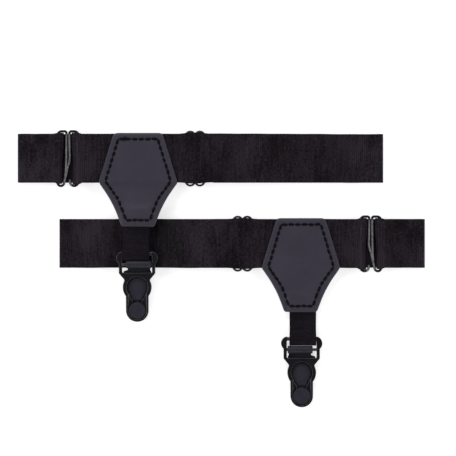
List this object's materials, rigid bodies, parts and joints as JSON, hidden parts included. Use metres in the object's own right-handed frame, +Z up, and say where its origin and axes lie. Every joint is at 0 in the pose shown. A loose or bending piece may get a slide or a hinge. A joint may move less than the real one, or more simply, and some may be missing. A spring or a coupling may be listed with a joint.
{
  "type": "sock suspenders",
  "caption": "Pair of sock suspenders: wide calf elastic with wire hook and slider, leather patch, short pendant strap and a keyhole clip with a sliding button on a flexible tongue.",
  "frame": {"origin": "middle of the pair, as laid out, on the surface that it lies on", "axes": "+X along the bands, towards the lower garter's hook; +Y from the lower garter to the upper one; +Z up, out of the surface"},
  "size_m": [0.212, 0.1446, 0.0077],
  "materials": {
    "calf_elastic": "ribbed woven elastic, faint sheen",
    "pendant_elastic": "fine woven elastic, smooth",
    "leather": "fine-grained matte leather with polished edges",
    "thread": "twisted sewing thread",
    "coated_wire": "satin coated steel wire",
    "clip_plastic": "moulded satin plastic",
    "tongue_rubber": "soft moulded plastic, slightly cloudy"
  },
  "bodies": {
    "lower_garter": {"lower_front_elastic": "calf_elastic", "lower_hook_loop": "calf_elastic", "lower_far_fold": "calf_elastic", "lower_outer_loop": "calf_elastic", "lower_back_far_elastic": "calf_elastic", "lower_back_near_elastic": "calf_elastic", "lower_adjuster_run": "calf_elastic", "lower_hook": "coated_wire", "lower_patch_front": "leather", "lower_patch_back": "leather", "lower_patch_stitching": "thread", "lower_pendant_root": "pendant_elastic"},
    "lower_adjuster": {"lower_slider": "coated_wire", "lower_slider_weave": "calf_elastic", "lower_adjuster_end": "calf_elastic", "lower_adjuster_tack": "thread"},
    "lower_pendant": {"lower_pendant_strap": "pendant_elastic"},
    "lower_clip": {"lower_clip_frame": "clip_plastic"},
    "lower_tongue": {"lower_clip_tongue": "tongue_rubber"},
    "lower_tongue_tip": {"lower_clip_tongue_tip": "tongue_rubber"},
    "lower_button": {"lower_clip_button": "tongue_rubber"},
    "upper_garter": {"upper_front_elastic": "calf_elastic", "upper_hook_loop": "calf_elastic", "upper_far_fold": "calf_elastic", "upper_outer_loop": "calf_elastic", "upper_back_far_elastic": "calf_elastic", "upper_back_near_elastic": "calf_elastic", "upper_adjuster_run": "calf_elastic", "upper_hook": "coated_wire", "upper_patch_front": "leather", "upper_patch_back": "leather", "upper_patch_stitching": "thread", "upper_pendant_root": "pendant_elastic"},
    "upper_adjuster": {"upper_slider": "coated_wire", "upper_slider_weave": "calf_elastic", "upper_adjuster_end": "calf_elastic", "upper_adjuster_tack": "thread"},
    "upper_pendant": {"upper_pendant_strap": "pendant_elastic"},
    "upper_clip": {"upper_clip_frame": "clip_plastic"},
    "upper_tongue": {"upper_clip_tongue": "tongue_rubber"},
    "upper_tongue_tip": {"upper_clip_tongue_tip": "tongue_rubber"},
    "upper_button": {"upper_clip_button": "tongue_rubber"}
  },
  "joints": [
    {"name": "upper_lift_off", "type": "slide", "parent": "lower_garter", "child": "upper_garter", "axis": [0, 0, 1], "range_m": [0, 0.05]},
    {"name": "lower_slider_slide", "type": "slide", "parent": "lower_garter", "child": "lower_adjuster", "axis": [-1, 0, 0], "range_m": [0, 0.025], "deforming": ["lower_back_far_elastic", "lower_back_near_elastic", "lower_adjuster_run"]},
    {"name": "lower_pendant_bend", "type": "hinge", "parent": "lower_garter", "child": "lower_pendant", "pos_m": [0.04245, -0.02363, 0.00188], "axis": [-1, 0, 0], "range_deg": [0, 90]},
    {"name": "lower_clip_pivot", "type": "hinge", "parent": "lower_pendant", "child": "lower_clip", "pos_m": [0.04185, -0.0367, 0.00225], "axis": [-1, 0, 0], "range_deg": [0, 90]},
    {"name": "lower_tongue_flex", "type": "hinge", "parent": "lower_clip", "child": "lower_tongue", "pos_m": [0.04185, -0.0423, 0.00225], "axis": [1, 0, 0], "range_deg": [0, 60], "stiffness_Nm_per_rad": 0.002, "deforming": ["lower_clip_tongue", "lower_clip_tongue_tip"]},
    {"name": "lower_tongue_bow", "type": "hinge", "parent": "lower_tongue", "child": "lower_tongue_tip", "pos_m": [0.04185, -0.05432, 0.00225], "axis": [1, 0, 0], "range_deg": [-120, 0]},
    {"name": "lower_button_follow", "type": "hinge", "parent": "lower_tongue_tip", "child": "lower_button", "pos_m": [0.04185, -0.06635, 0.00225], "axis": [1, 0, 0], "range_deg": [0, 60]},
    {"name": "upper_slider_slide", "type": "slide", "parent": "upper_garter", "child": "upper_adjuster", "axis": [1, 0, 0], "range_m": [0, 0.025], "deforming": ["upper_back_far_elastic", "upper_back_near_elastic", "upper_adjuster_run"]},
    {"name": "upper_pendant_bend", "type": "hinge", "parent": "upper_garter", "child": "upper_pendant", "pos_m": [-0.04425, 0.02071, 0.00597], "axis": [-1, 0, 0], "range_deg": [0, 90]},
    {"name": "upper_clip_pivot", "type": "hinge", "parent": "upper_pendant", "child": "upper_clip", "pos_m": [-0.04365, 0.00768, 0.00487], "axis": [-1, 0, 0], "range_deg": [0, 90]},
    {"name": "upper_tongue_flex", "type": "hinge", "parent": "upper_clip", "child": "upper_tongue", "pos_m": [-0.04365, 0.0021, 0.00445], "axis": [1, 0, 0], "range_deg": [0, 60], "stiffness_Nm_per_rad": 0.002, "deforming": ["upper_clip_tongue", "upper_clip_tongue_tip"]},
    {"name": "upper_tongue_bow", "type": "hinge", "parent": "upper_tongue", "child": "upper_tongue_tip", "pos_m": [-0.04365, -0.00989, 0.00354], "axis": [1, 0, 0], "range_deg": [-120, 0]},
    {"name": "upper_button_follow", "type": "hinge", "parent": "upper_tongue_tip", "child": "upper_button", "pos_m": [-0.04365, -0.02188, 0.00263], "axis": [1, 0, 0], "range_deg": [0, 60]}
  ],
  "couplings": [
    {"joint": "lower_tongue_bow", "follows": "lower_tongue_flex", "ratio": -2},
    {"joint": "lower_button_follow", "follows": "lower_tongue_flex", "ratio": 1},
    {"joint": "upper_tongue_bow", "follows": "upper_tongue_flex", "ratio": -2},
    {"joint": "upper_button_follow", "follows": "upper_tongue_flex", "ratio": 1}
  ]
}
